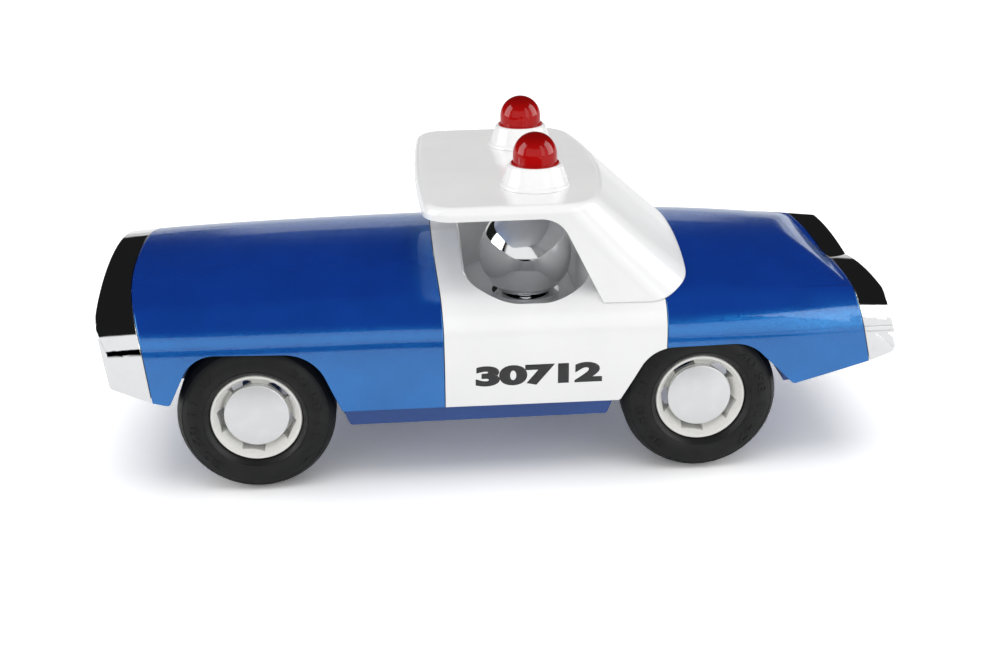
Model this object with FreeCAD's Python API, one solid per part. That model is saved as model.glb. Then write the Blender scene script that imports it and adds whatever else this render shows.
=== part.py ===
"""Toy police patrol car: a push-along car with a ball-shaped driver.

Frame: +X to the nose, +Y to the car's left, +Z up, origin on the floor below
the middle of the car.  Lengths are in millimetres.
"""
import FreeCAD, Part
import math
import os

Vector = FreeCAD.Vector
os.makedirs("parts", exist_ok=True)

# ---------------------------------------------------------------- overall
WHEELBASE = 166.7
FRONT_AXLE_X = 92.5
REAR_AXLE_X = FRONT_AXLE_X - WHEELBASE
NOSE_X = 148.0
TAIL_X = -148.4
FAR = 400.0                   # well outside the car, for cutting solids
SEAT_CLEARANCE = 0.05         # between pieces that seat on each other
CUT_MARGIN = 8.0              # cutters carried on past what they cut
TOLERANCE = 0.01              # for finding edges by their place

# ---------------------------------------------------------------- wheels
TYRE_RADIUS = 29.4
TREAD_Y = 47.5                # middle of the tread
TREAD_HALF_FLAT = 4.0
TYRE_SHOULDER = 8.0
TYRE_HALF_WIDTH = 11.0
RIM_SEAT_RADIUS = 16.0
RIM_LIP = 1.0                 # lip standing over the tyre's bead
RIM_LIP_RADIUS = RIM_SEAT_RADIUS + RIM_LIP
RIM_HALF_WIDTH = 8.5
RIM_LIP_Y = TREAD_Y + RIM_HALF_WIDTH
RIM_INNER_Y = TREAD_Y - RIM_HALF_WIDTH
RIM_FLANGE = 0.6
RIM_BARREL = 2.0
RIM_DISH_DEPTH = 6.0
RIM_DISH_TAPER = 4.4
RIM_FLOOR_Y = RIM_LIP_Y - RIM_DISH_DEPTH
RIM_WEB = 3.0
CAP_RADIUS = 11.6
CAP_FACE_RADIUS = 10.9
CAP_RECESS = 2.8              # cap face below the rim's lip
CAP_STEP = 2.2
CAP_BEVEL = 0.4
NOTCH_COUNT = 5
NOTCH_WIDTH = 8.4
NOTCH_DEPTH = 2.7             # notch past the edge of the cap
NOTCH_UNDERCUT = 1.0          # notch under the edge of the cap
NOTCH_PHASE = 9.0
BEAD_RISE = 0.3
BEAD_BLEND = 0.7
BEAD_BLEND_RISE = 2.0
AXLE_RADIUS = 2.0
AXLE_END_COVER = 1.4          # rim left over the end of the axle
AXLE_HALF_LENGTH = RIM_FLOOR_Y - AXLE_END_COVER
HUB_RADIUS = 5.0
HUB_SETBACK = 1.0
PRESS_CLEARANCE = 0.02
RUNNING_CLEARANCE = 0.06

# ---------------------------------------------------------------- body skin
SKIN = 2.4                    # wall of the moulded body
NOSE_WALL = 6.0               # plated ends are thicker than the skin
TAIL_WALL = 7.5
SEAM_GAP = 0.3                # shut line between two mouldings
CROWN_RADIUS = 155.0          # across the bonnet and the deck
SHOULDER_RADIUS = 16.0        # bonnet top into side
SIDE_RADIUS = 170.0           # slight tuck of the side towards the sill
SECTION_FLOOR = 24.0          # open lower end of every body section
BODY_HALF_WIDTH = 60.6        # at the doors
# columns: station x, half width, crown height
BODY_STATIONS = (
    (162.0, 58.4, 77.7),
    (137.5, 59.2, 79.7),
    (92.5, 60.4, 81.4),
    (40.0, BODY_HALF_WIDTH, 82.3),
    (-10.0, BODY_HALF_WIDTH, 82.3),
    (-60.0, BODY_HALF_WIDTH, 81.5),
    (-92.5, 60.2, 79.7),
    (-118.0, 59.0, 77.2),
    (-162.0, 56.0, 72.6),
)

# side view of both ends: columns x, z, corner radius
NOSE_OUTLINE = (
    (NOSE_X - 0.4, 110.0, 0.0),
    (NOSE_X, 73.0, 90.0),
    (NOSE_X - 4.2, 44.8, 2.0),
    (NOSE_X - 18.4, 38.3, 0.0),
)
TAIL_OUTLINE = (
    (TAIL_X + 9.7, 42.2, 0.0),
    (TAIL_X, 45.6, 2.5),
    (TAIL_X + 4.2, 66.0, 30.0),
    (TAIL_X + 5.0, 110.0, 0.0),
)
NOSE_CORNER_RADIUS = 9.0      # plan view corner of the nose
NOSE_TAPER_X = 92.5           # plan view limit clears the sides behind here
TAIL_CORNER_RADIUS = 4.0      # plan view corner of the tail
TAIL_HALF_WIDTH = 57.6
TAIL_TAPER = 30.0
PLAN_MARGIN = 0.6             # plan view limit outside the body's side
# wheel arches, front to rear: columns axle x, x and z of the corner beyond the
# tyre's edge (minus: inside it), corner radius; the feet give z of the sill
ARCH_FEET = (
    (FRONT_AXLE_X, 1, 1.3, 36.6),
    (FRONT_AXLE_X, -1, 2.7, 31.4),
    (REAR_AXLE_X, 1, 1.6, 31.0),
    (REAR_AXLE_X, -1, 5.6, 34.4),
)
ARCH_CORNERS = (
    (FRONT_AXLE_X, 1, -8.7, -2.0, 13.0),
    (FRONT_AXLE_X, -1, -6.7, -3.2, 16.0),
    (REAR_AXLE_X, 1, -10.0, -6.6, 14.0),
    (REAR_AXLE_X, -1, -12.1, -6.2, 15.0),
)
ARCH_FOOT_RADIUS = 1.5

# tail deck rolls down between the fins: columns x, z
DECK_ROLL = ((-92.0, 83.5), (-121.0, 76.8), (-170.0, 40.0))
DECK_ROLL_RADIUS = 60.0
DECK_EDGE_RADIUS = 12.0       # crease between the crowned deck and the roll
DECK_OVERRUN = 30.0           # rolled deck carried on past the tail
# fin blades: columns x, crease half width, crease z, valley z, foot half width
FIN_STATIONS = (
    (-92.0, 53.2, 69.2, 60.0, 60.0),
    (-110.0, 50.0, 69.7, 63.0, 59.4),
    (-131.5, 47.4, 68.6, 65.2, 58.1),
    (-160.0, 45.0, 66.2, 62.6, 56.1),
)
FIN_FOOT_Z = 53.0
FIN_TOP_BULGE = 1.6

# shut lines: columns x on the centre line, bow to the side, lean per mm of z,
# half width of the straight part
SEAM_REF_Z = 60.0
SEAM_REF_Y = 60.0
SEAM_REACH = 1.25             # shut line drawn past the side by this share
NOSE_SEAM = (135.7, 4.8, 0.09, 22.0)
BONNET_SEAM = (24.4, 2.2, 0.0, 0.0)
DECK_SEAM = (-58.6, 1.6, 0.0, 0.0)
TAIL_SEAM = (-136.6, -3.0, 0.235, 0.0)

# ---------------------------------------------------------------- cockpit
HEAD_RADIUS = 18.5
HEAD_X = -13.2
TUB_FRONT_GAP = 7.9           # ball to the front wall
TUB_REAR_GAP = 2.8
TUB_FRONT_X = HEAD_X + HEAD_RADIUS + TUB_FRONT_GAP
TUB_REAR_X = HEAD_X - HEAD_RADIUS - TUB_REAR_GAP
TUB_WALL = 2.0
TUB_SKIN_GAP = 0.8            # tub wall to the inside of the skin
TUB_HALF_WIDTH = BODY_HALF_WIDTH - SKIN - TUB_SKIN_GAP - TUB_WALL
TUB_CORNER_RADIUS = 20.0
TUB_FLOOR_Z = 50.0
TUB_RIM_BEVEL = 0.8

HEAD_FLOOR_GAP = 2.8
HEAD_Z = TUB_FLOOR_Z + HEAD_FLOOR_GAP + HEAD_RADIUS
COLLAR_RADIUS = 13.7
COLLAR_HEIGHT = 5.6

# ---------------------------------------------------------------- roof
ROOF_TOP_Z = 108.0
ROOF_FOOT_Z = 56.0            # pillars are cut off by the body above this
ROOF_EDGE = 4.8               # depth of the rolled roof edge
ROOF_WALL = 4.0
ROOF_SPACE_FRONT_X = -10.0    # hollow behind the cockpit starts here
ROOF_FRONT_X = 29.8
ROOF_FRONT_RADIUS = 700.0     # plan view bow of the front edge
ROOF_FRONT_CORNER = 11.0
ROOF_ROLL_RADIUS = 3.0
ROOF_GAP = 0.3
# plan outlines: columns height share, rear x, half width, rear radius, corner
ROOF_LEVELS = (
    (0.0, -101.0, 56.4, 115.0, 27.0),
    (0.48, -71.2, 57.6, 130.0, 24.0),
    (0.75, -55.2, 58.8, 165.0, 20.0),
    (1.0, -41.0, 59.6, 205.0, 15.0),
)
# side window and pillar edge
WINDOW_REAR_X = -20.5
WINDOW_CORNER_RADIUS = 11.0
PILLAR_FOOT = (-37.8, 67.6)

# ---------------------------------------------------------------- beacons
BEACON_X = -14.5
BEACON_Y = 30.6
BEACON_HEIGHT = 8.2
BEACON_FOOT_RADIUS = 13.4
BEACON_FOOT_HEIGHT = 1.2
BEACON_FOOT_BEVEL = 0.3
BEACON_FOOT_SIDE = 0.9
BEACON_CONE_RADIUS = 12.3
BEACON_TOP_RADIUS = 10.2
BEACON_TOP_BEVEL = 0.7
BEACON_BASE_TOP_Z = ROOF_TOP_Z + BEACON_HEIGHT
LENS_HEIGHT = 11.6            # lens above its base
LENS_RADIUS = 8.2
LENS_FLANGE_RADIUS = 8.9
LENS_WALL = 1.2
LENS_SEAT_DEPTH = 2.0
LENS_FLANGE_RISE = 0.4
LENS_TOP_Z = BEACON_BASE_TOP_Z + LENS_HEIGHT

# ---------------------------------------------------------------- chassis
CHASSIS_GAP = 0.40            # chassis edge to the inside of the skin
CHASSIS_END_GAP = 0.5
FLOOR_THICKNESS = 2.4
FLOOR_RAISE = 0.6             # floor above the body's lower edge
TRAY_AXLE_GAP = 5.1           # tray end to the tyre, along the car
TRAY_REAR_GAP = 5.8
TRAY_SLOPE = 3.5
TRAY_HALF_WIDTH = 53.0
TRAY_BOTTOM_Z = 23.4
TRAY_TOP_Z = 32.5
TRAY_EDGE_RADIUS = 1.5
WELL_TYRE_GAP = 2.8           # well to the tread
WELL_LIP_GAP = 1.2            # closer lip, then tapering with the tyre
WELL_RADIUS = TYRE_RADIUS + WELL_TYRE_GAP
WELL_LIP_RADIUS = TYRE_RADIUS + WELL_LIP_GAP
WELL_INNER_GAP = 2.9          # well to the tyre's inner wall
WELL_LIP_OFFSET = 6.5         # tread's middle to the closer lip
WELL_OUTER_GAP = 1.0
WELL_INNER_Y = TREAD_Y - TYRE_HALF_WIDTH - WELL_INNER_GAP
WELL_LIP_Y = TREAD_Y + WELL_LIP_OFFSET
WELL_OUTER_Y = TREAD_Y + TYRE_HALF_WIDTH + WELL_OUTER_GAP
WELL_WALL = 1.6
BEARING_Y = 27.0
BEARING_WIDTH = 8.0
BEARING_HALF_LENGTH = 7.0
BEARING_BELOW = 6.0           # block below the axle's centre
BEARING_ABOVE = 6.6


# ---------------------------------------------------------------- helpers
def wire_of(points, radii, place):
    """Closed outline of lines with rounded corners, mapped by place(a, b)."""
    count = len(points)
    starts = []
    ends = []
    middles = []
    for i in range(count):
        px, py = points[i - 1]
        cx, cy = points[i]
        nx, ny = points[(i + 1) % count]
        ux, uy = px - cx, py - cy
        vx, vy = nx - cx, ny - cy
        lu = math.hypot(ux, uy)
        lv = math.hypot(vx, vy)
        ux, uy, vx, vy = ux / lu, uy / lu, vx / lv, vy / lv
        half = 0.5 * math.acos(max(-1.0, min(1.0, ux * vx + uy * vy)))
        radius = radii[i]
        if radius <= 0.0 or abs(half - math.pi / 2.0) < 1e-6:
            starts.append((cx, cy))
            ends.append((cx, cy))
            middles.append(None)
            continue
        back = radius / math.tan(half)
        reach = radius / math.sin(half)
        bx, by = ux + vx, uy + vy
        lb = math.hypot(bx, by)
        ox, oy = cx + bx / lb * reach, cy + by / lb * reach
        starts.append((cx + ux * back, cy + uy * back))
        ends.append((cx + vx * back, cy + vy * back))
        middles.append((ox - bx / lb * radius, oy - by / lb * radius))
    edges = []
    for i in range(count):
        if middles[i] is not None:
            arc = Part.Arc(place(*starts[i]), place(*middles[i]), place(*ends[i]))
            edges.append(arc.toShape())
        nxt = starts[(i + 1) % count]
        if math.hypot(nxt[0] - ends[i][0], nxt[1] - ends[i][1]) > 1e-6:
            edges.append(Part.makeLine(place(*ends[i]), place(*nxt)))
    return Part.Wire(edges)


def side_prism(corners, half_width):
    """Prism across the car from (x, z, radius) corners of a side view."""
    wire = wire_of([c[:2] for c in corners], [c[2] for c in corners],
                   lambda a, b: Vector(a, -half_width, b))
    return Part.Face(wire).extrude(Vector(0, 2.0 * half_width, 0))


def plan_prism(corners, low_z, high_z):
    """Upright prism from (x, y, radius) corners of a plan view."""
    wire = wire_of([c[:2] for c in corners], [c[2] for c in corners],
                   lambda a, b: Vector(a, b, low_z))
    return Part.Face(wire).extrude(Vector(0, 0, high_z - low_z))


def rounded_block(low_x, high_x, half_width, radius, low_z, high_z):
    """Upright block with four equal plan corners."""
    corners = ((low_x, -half_width, radius), (high_x, -half_width, radius),
               (high_x, half_width, radius), (low_x, half_width, radius))
    return plan_prism(corners, low_z, high_z)


def box(low, high):
    """Box between two opposite corners."""
    return Part.makeBox(high[0] - low[0], high[1] - low[1], high[2] - low[2],
                        Vector(*low))


def disc_y(radius, low_y, high_y, x, z):
    """Cylinder lying across the car."""
    return Part.makeCylinder(radius, high_y - low_y, Vector(x, low_y, z),
                             Vector(0, 1, 0))


def mirrored(shape):
    """The same piece on the other side of the car."""
    return shape.mirror(Vector(0, 0, 0), Vector(0, 1, 0))


def turned_y(points, x, z):
    """Solid turned about an axle from (radius, y) points."""
    wire = Part.makePolygon([Vector(x, y, z + r) for r, y in points])
    return Part.Face(wire).revolve(Vector(x, 0, z), Vector(0, 1, 0), 360)


def turned_z(points, x, y):
    """Solid turned about an upright line from (radius, z) points."""
    wire = Part.makePolygon([Vector(x + r, y, z) for r, z in points])
    return Part.Face(wire).revolve(Vector(x, y, 0), Vector(0, 0, 1), 360)


# ---------------------------------------------------------------- body skin
def body_section(x, half_width, crown_z, inset):
    """One closed section: side, shoulder, crown, shoulder, side and floor."""
    big = CROWN_RADIUS - inset
    small = SHOULDER_RADIUS - inset
    side = SIDE_RADIUS - inset
    width = half_width - inset
    reach = CROWN_RADIUS - SHOULDER_RADIUS
    offset = half_width - SHOULDER_RADIUS
    crown_centre = crown_z - CROWN_RADIUS
    shoulder_z = crown_centre + math.sqrt(reach ** 2 - offset ** 2)
    angle = math.asin(offset / reach)
    half = 0.5 * (math.pi / 2.0 - angle)
    top = (big * math.sin(angle), crown_centre + big * math.cos(angle))
    mid = (offset + small * math.sin(angle + half),
           shoulder_z + small * math.cos(angle + half))
    drop = shoulder_z - SECTION_FLOOR
    side_centre = width - side
    foot_y = side_centre + math.sqrt(side ** 2 - drop ** 2)
    waist_y = side_centre + math.sqrt(side ** 2 - (0.5 * drop) ** 2)

    def at(y, z):
        return Vector(x, y, z)

    edges = [
        Part.Arc(at(foot_y, SECTION_FLOOR), at(waist_y, shoulder_z - 0.5 * drop),
                 at(width, shoulder_z)).toShape(),
        Part.Arc(at(width, shoulder_z), at(*mid), at(*top)).toShape(),
        Part.Arc(at(*top), at(0.0, crown_centre + big),
                 at(-top[0], top[1])).toShape(),
        Part.Arc(at(-top[0], top[1]), at(-mid[0], mid[1]),
                 at(-width, shoulder_z)).toShape(),
        Part.Arc(at(-width, shoulder_z), at(-waist_y, shoulder_z - 0.5 * drop),
                 at(-foot_y, SECTION_FLOOR)).toShape(),
        Part.makeLine(at(-foot_y, SECTION_FLOOR), at(foot_y, SECTION_FLOOR)),
    ]
    return Part.Wire(edges)


def body_loft(inset):
    """The crowned body from nose to tail, shrunk by inset."""
    wires = [body_section(x, w, z, inset) for x, w, z in BODY_STATIONS]
    return Part.makeLoft(wires, True, False)


def fin_section(x, crease_y, crease_z, valley_z, foot_y, inset):
    """Batwing section: creased fins with upright feet and a shallow valley."""
    cy = crease_y - inset
    cz = crease_z - inset
    vz = valley_z - inset
    fy = foot_y - inset

    def at(y, z):
        return Vector(x, y, z)

    def bulged(y0, z0, y1, z1, bulge):
        my = 0.5 * (y0 + y1)
        mz = 0.5 * (z0 + z1)
        length = math.hypot(y1 - y0, z1 - z0)
        ny = (z1 - z0) / length
        nz = -(y1 - y0) / length
        return Part.Arc(at(y0, z0), at(my + ny * bulge, mz + nz * bulge),
                        at(y1, z1)).toShape()

    low = FIN_FOOT_Z
    lean = math.atan2(fy - cy, cz - low)
    side_bulge = 0.5 * math.hypot(fy - cy, cz - low) * math.tan(0.5 * lean)
    edges = [
        bulged(fy, low, cy, cz, side_bulge),
        bulged(cy, cz, 0.0, vz, FIN_TOP_BULGE),
        bulged(0.0, vz, -cy, cz, FIN_TOP_BULGE),
        bulged(-cy, cz, -fy, low, side_bulge),
        Part.makeLine(at(-fy, low), at(fy, low)),
    ]
    return Part.Wire(edges)


def fin_loft(inset):
    """Both fins and the valley between them."""
    wires = [fin_section(*row, inset) for row in FIN_STATIONS]
    return Part.makeLoft(wires, True, False)


def roll_prism(inset):
    """Everything under the rolled tail deck."""
    corners = [(x, z - inset, 0.0) for x, z in DECK_ROLL]
    corners[1] = (corners[1][0], corners[1][1], DECK_ROLL_RADIUS)
    start_x = corners[0][0]
    last_x = TAIL_X - DECK_OVERRUN
    last_z = corners[-1][1] - CUT_MARGIN
    low = SECTION_FLOOR - CUT_MARGIN
    outline = [(FAR, FAR, 0.0), (start_x, FAR, 0.0)] + corners
    outline += [(last_x, last_z, 0.0), (last_x, low, 0.0), (FAR, low, 0.0)]
    return side_prism(outline, FAR)


def ends_prism():
    """Plan view limits of the nose and the tail."""
    tail_x = TAIL_X + TAIL_TAPER
    rear_half = TAIL_HALF_WIDTH
    middle_half = BODY_HALF_WIDTH + PLAN_MARGIN
    nose_half = BODY_STATIONS[1][1] + PLAN_MARGIN
    left = ((NOSE_X, nose_half, NOSE_CORNER_RADIUS), (NOSE_TAPER_X, middle_half, 0.0),
            (tail_x, middle_half, 0.0), (TAIL_X, rear_half, TAIL_CORNER_RADIUS))
    right = [(x, -y, radius) for x, y, radius in reversed(left)]
    return plan_prism(right + list(left), 0.0, FAR)


def arch_feet():
    """Where each arch meets the sill, from the nose to the tail."""
    return [(axle + side * (TYRE_RADIUS + gap), z) for axle, side, gap, z in ARCH_FEET]


def body_outline():
    """Side view of the body with both wheel arches cut from its sill."""
    feet = [(x, z, ARCH_FOOT_RADIUS) for x, z in arch_feet()]
    tops = [(axle + side * (TYRE_RADIUS + x_gap), 2.0 * TYRE_RADIUS + z_gap, radius)
            for axle, side, x_gap, z_gap, radius in ARCH_CORNERS]
    arches = [feet[0], tops[0], tops[1], feet[1], feet[2], tops[2], tops[3], feet[3]]
    return list(NOSE_OUTLINE) + arches + list(TAIL_OUTLINE)


def seam_side(seam, shift):
    """Everything ahead of a shut line, moved along X by shift."""
    centre, bow, lean, flat = seam
    half = SEAM_REACH * SEAM_REF_Y
    low = 0.0
    high = 2.0 * SEAM_REF_Z
    drop = lean * (low - SEAM_REF_Z)
    rise = lean * (high - SEAM_REF_Z)
    middle_x = centre + shift + drop

    def at(y):
        past = max(0.0, abs(y) - flat) / (SEAM_REF_Y - flat)
        return Vector(middle_x - bow * past ** 2, y, low)

    if flat > 0.0:
        waist = 0.5 * (flat + half)
        edges = [Part.Arc(at(-half), at(-waist), at(-flat)).toShape(),
                 Part.makeLine(at(-flat), at(flat)),
                 Part.Arc(at(flat), at(waist), at(half)).toShape()]
    else:
        edges = [Part.Arc(at(-half), at(0.0), at(half)).toShape()]
    corners = (at(half), Vector(FAR, half, low), Vector(FAR, -half, low), at(-half))
    for start, end in zip(corners, corners[1:]):
        edges.append(Part.makeLine(start, end))
    return Part.Face(Part.Wire(edges)).extrude(Vector(rise - drop, 0, high - low))


def between(shape, rear_seam, front_seam):
    """The length of a shape between two shut lines."""
    result = shape
    if front_seam is not None:
        result = result.cut(seam_side(front_seam, -0.5 * SEAM_GAP))
    if rear_seam is not None:
        result = result.common(seam_side(rear_seam, 0.5 * SEAM_GAP))
    return result


def solid_of(shape):
    """The largest solid of a shape."""
    solids = sorted(shape.Solids, key=lambda s: s.Volume)
    return solids[-1]


def edges_where(shape, wanted):
    """Edges of a shape whose bounding box passes the test."""
    return [edge for edge in shape.Edges if wanted(edge.BoundBox)]


def wheel_spaces(points):
    """Spaces of one (radius, y) profile about both axles, on both sides."""
    spaces = []
    for x in (FRONT_AXLE_X, REAR_AXLE_X):
        left = turned_y(points, x, TYRE_RADIUS)
        spaces.append(left)
        spaces.append(mirrored(left))
    return spaces


# ---------------------------------------------------------------- build body
def on_deck_crease(bounds):
    """Whether an edge lies where the crowned deck meets its rolled end."""
    behind = bounds.XMax < DECK_ROLL[0][0]
    slanting = bounds.XLength > 1.0 and bounds.YLength > 1.0
    return behind and slanting and bounds.ZMax > FIN_FOOT_Z


deck = body_loft(0.0).common(roll_prism(0.0))
deck = deck.makeFillet(DECK_EDGE_RADIUS, edges_where(deck, on_deck_crease))
outer = deck.fuse(fin_loft(0.0))
outer = outer.common(side_prism(body_outline(), FAR))
outer = outer.common(ends_prism())

hollow = body_loft(SKIN).common(roll_prism(SKIN))
hollow = hollow.common(box((TAIL_X + TAIL_WALL, -FAR, 0), (NOSE_X - NOSE_WALL, FAR, FAR)))

shell = outer.cut(hollow)
arch_profile = ((0.0, WELL_INNER_Y), (WELL_RADIUS, WELL_INNER_Y),
                (WELL_RADIUS, WELL_LIP_Y), (WELL_LIP_RADIUS, WELL_LIP_Y),
                (TYRE_RADIUS - 0.5 * TYRE_SHOULDER, WELL_OUTER_Y),
                (0.0, WELL_OUTER_Y), (0.0, WELL_INNER_Y))
arch_spaces = wheel_spaces(arch_profile)
for space in arch_spaces:
    shell = shell.cut(space)

tub_outer = rounded_block(TUB_REAR_X - TUB_WALL, TUB_FRONT_X + TUB_WALL,
                          TUB_HALF_WIDTH + TUB_WALL, TUB_CORNER_RADIUS + TUB_WALL,
                          TUB_FLOOR_Z - TUB_WALL, FAR)
tub_inner = rounded_block(TUB_REAR_X, TUB_FRONT_X, TUB_HALF_WIDTH,
                          TUB_CORNER_RADIUS, TUB_FLOOR_Z, FAR)
tub = tub_outer.common(outer)
for space in arch_spaces:
    tub = tub.cut(space)
centre_shell = shell.fuse(tub).cut(tub_inner)


def on_tub_rim(bounds):
    """Whether an edge runs along the cockpit's opening in the crown."""
    inside = max(abs(bounds.YMin), abs(bounds.YMax)) < TUB_HALF_WIDTH + TOLERANCE
    along = bounds.XMin > TUB_REAR_X - TOLERANCE and bounds.XMax < TUB_FRONT_X + TOLERANCE
    high = bounds.ZMin > TUB_FLOOR_Z + TUB_WALL
    return inside and along and high


bodies = {
    "nose_trim": solid_of(between(shell, NOSE_SEAM, None)),
    "bonnet_body": solid_of(between(shell, BONNET_SEAM, NOSE_SEAM)),
    "door_body": solid_of(between(centre_shell, DECK_SEAM, BONNET_SEAM)),
    "tail_body": solid_of(between(shell, TAIL_SEAM, DECK_SEAM)),
    "tail_trim": solid_of(between(shell, None, TAIL_SEAM)),
}

door = bodies["door_body"]
bodies["door_body"] = door.makeChamfer(TUB_RIM_BEVEL, edges_where(door, on_tub_rim))

# ---------------------------------------------------------------- roof
def bowed_side(end_x, bow_radius, corner, half_width, sign):
    """Corner centre, corner tangent points and mid points of one bowed end."""
    centre_x = end_x - sign * bow_radius
    offset = half_width - corner
    reach = bow_radius - corner
    corner_x = centre_x + sign * math.sqrt(reach ** 2 - offset ** 2)
    angle = math.asin(offset / reach)
    tangent = (centre_x + sign * bow_radius * math.cos(angle),
               bow_radius * math.sin(angle))
    half = 0.5 * (angle + math.pi / 2.0)
    middle = (corner_x + sign * corner * math.cos(half),
              offset + corner * math.sin(half))
    return corner_x, tangent, middle


def roof_level(z, rear_x, half_width, rear_radius, rear_corner, inset):
    """Closed plan outline of the roof and its pillars at one height."""
    front_x = ROOF_FRONT_X - inset
    half = half_width - inset
    fx, ft, fm = bowed_side(front_x, ROOF_FRONT_RADIUS, ROOF_FRONT_CORNER, half, 1)
    rx, rt, rm = bowed_side(rear_x + inset, rear_radius - inset,
                            rear_corner - inset, half, -1)

    def at(x, y):
        return Vector(x, y, z)

    edges = [
        Part.Arc(at(ft[0], -ft[1]), at(front_x, 0.0), at(*ft)).toShape(),
        Part.Arc(at(*ft), at(*fm), at(fx, half)).toShape(),
        Part.makeLine(at(fx, half), at(rx, half)),
        Part.Arc(at(rx, half), at(*rm), at(*rt)).toShape(),
        Part.Arc(at(*rt), at(rear_x + inset, 0.0), at(rt[0], -rt[1])).toShape(),
        Part.Arc(at(rt[0], -rt[1]), at(rm[0], -rm[1]), at(rx, -half)).toShape(),
        Part.makeLine(at(rx, -half), at(fx, -half)),
        Part.Arc(at(fx, -half), at(fm[0], -fm[1]), at(ft[0], -ft[1])).toShape(),
    ]
    return Part.Wire(edges)


def roof_loft(inset):
    """Roof slab and sloping back as one solid, shrunk by inset."""
    rise = ROOF_TOP_Z - ROOF_FOOT_Z
    wires = [roof_level(ROOF_FOOT_Z + share * rise, *row, inset)
             for share, *row in ROOF_LEVELS]
    return Part.makeLoft(wires, True, False)


def window_prism():
    """Side windows and the open front, as one prism across the car."""
    low = 0.5 * SECTION_FLOOR
    head_z = ROOF_TOP_Z - ROOF_EDGE
    foot_x, foot_z = PILLAR_FOOT
    outline = ((FAR, head_z, 0.0), (WINDOW_REAR_X, head_z, WINDOW_CORNER_RADIUS),
               (foot_x, foot_z, 0.0), (foot_x, low, 0.0), (FAR, low, 0.0))
    return side_prism(outline, FAR)


roof = roof_loft(0.0)
top_edges = edges_where(roof, lambda b: b.ZMin > ROOF_TOP_Z - TOLERANCE)
roof = roof.makeFillet(ROOF_ROLL_RADIUS, top_edges)
roof_space = roof_loft(ROOF_WALL).common(
    box((-FAR, -FAR, 0), (ROOF_SPACE_FRONT_X, FAR, ROOF_TOP_Z - ROOF_EDGE)))
roof = roof.cut(window_prism()).cut(roof_space).cut(body_loft(-ROOF_GAP))
roof = solid_of(roof)

# ---------------------------------------------------------------- driver
head = Part.makeSphere(HEAD_RADIUS, Vector(HEAD_X, 0, HEAD_Z))
collar = Part.makeCylinder(COLLAR_RADIUS, COLLAR_HEIGHT,
                           Vector(HEAD_X, 0, TUB_FLOOR_Z + SEAT_CLEARANCE))
collar = collar.cut(Part.makeSphere(HEAD_RADIUS + SEAT_CLEARANCE,
                                    Vector(HEAD_X, 0, HEAD_Z)))

# ---------------------------------------------------------------- beacons
base_foot_z = ROOF_TOP_Z + SEAT_CLEARANCE
base_points = (
    (0.0, base_foot_z),
    (BEACON_FOOT_RADIUS, base_foot_z),
    (BEACON_FOOT_RADIUS - BEACON_FOOT_BEVEL, base_foot_z + BEACON_FOOT_SIDE),
    (BEACON_CONE_RADIUS, base_foot_z + BEACON_FOOT_HEIGHT + BEACON_FOOT_BEVEL),
    (BEACON_TOP_RADIUS, BEACON_BASE_TOP_Z - BEACON_TOP_BEVEL),
    (BEACON_TOP_RADIUS - BEACON_TOP_BEVEL, BEACON_BASE_TOP_Z),
    (LENS_FLANGE_RADIUS + SEAT_CLEARANCE, BEACON_BASE_TOP_Z),
    (LENS_FLANGE_RADIUS + SEAT_CLEARANCE, BEACON_BASE_TOP_Z - LENS_SEAT_DEPTH),
    (0.0, BEACON_BASE_TOP_Z - LENS_SEAT_DEPTH),
    (0.0, base_foot_z),
)
beacon_base = turned_z(base_points, BEACON_X, BEACON_Y)
seat_z = BEACON_BASE_TOP_Z - LENS_SEAT_DEPTH + SEAT_CLEARANCE
dome_z = LENS_TOP_Z - LENS_RADIUS


def lens_blank(radius, low_z):
    """Capsule-shaped dome of one radius standing on low_z."""
    column = Part.makeCylinder(radius, dome_z - low_z,
                               Vector(BEACON_X, BEACON_Y, low_z))
    dome = Part.makeSphere(radius, Vector(BEACON_X, BEACON_Y, dome_z), Vector(0, 0, 1),
                           0, 90, 360)
    return column.fuse(dome)


flange = Part.makeCylinder(LENS_FLANGE_RADIUS, LENS_SEAT_DEPTH + LENS_FLANGE_RISE,
                           Vector(BEACON_X, BEACON_Y, seat_z))
lens = lens_blank(LENS_RADIUS, seat_z).fuse(flange)
lens = lens.cut(lens_blank(LENS_RADIUS - LENS_WALL, seat_z - 1.0))
lens = solid_of(lens)


# ---------------------------------------------------------------- wheels
def tyre_section(x):
    """Half section of the left tyre: bead, round shoulders and flat tread."""
    bore = RIM_SEAT_RADIUS + PRESS_CLEARANCE
    bead = RIM_HALF_WIDTH - RIM_FLANGE - PRESS_CLEARANCE
    bead_top = RIM_LIP_RADIUS + BEAD_RISE
    blend = bead_top + BEAD_BLEND_RISE
    hip = TYRE_RADIUS - TYRE_SHOULDER
    wide = TYRE_HALF_WIDTH
    flat = TREAD_HALF_FLAT
    slant = 0.5 * math.sqrt(2.0)
    over = (flat + (wide - flat) * slant, hip + TYRE_SHOULDER * slant)

    def at(side, r):
        return Vector(x, TREAD_Y + side, TYRE_RADIUS + r)

    edges = [Part.makeLine(at(-bead, bore), at(bead, bore)),
             Part.makeLine(at(-flat, TYRE_RADIUS), at(flat, TYRE_RADIUS))]
    for side in (-1, 1):
        edges.append(Part.makeLine(at(side * bead, bore), at(side * bead, bead_top)))
        edges.append(Part.Arc(at(side * bead, bead_top),
                              at(side * (wide - BEAD_BLEND), blend),
                              at(side * wide, hip)).toShape())
        edges.append(Part.Arc(at(side * wide, hip), at(side * over[0], over[1]),
                              at(side * flat, TYRE_RADIUS)).toShape())
    return Part.Face(Part.Wire(Part.__sortEdges__(edges)))


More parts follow.
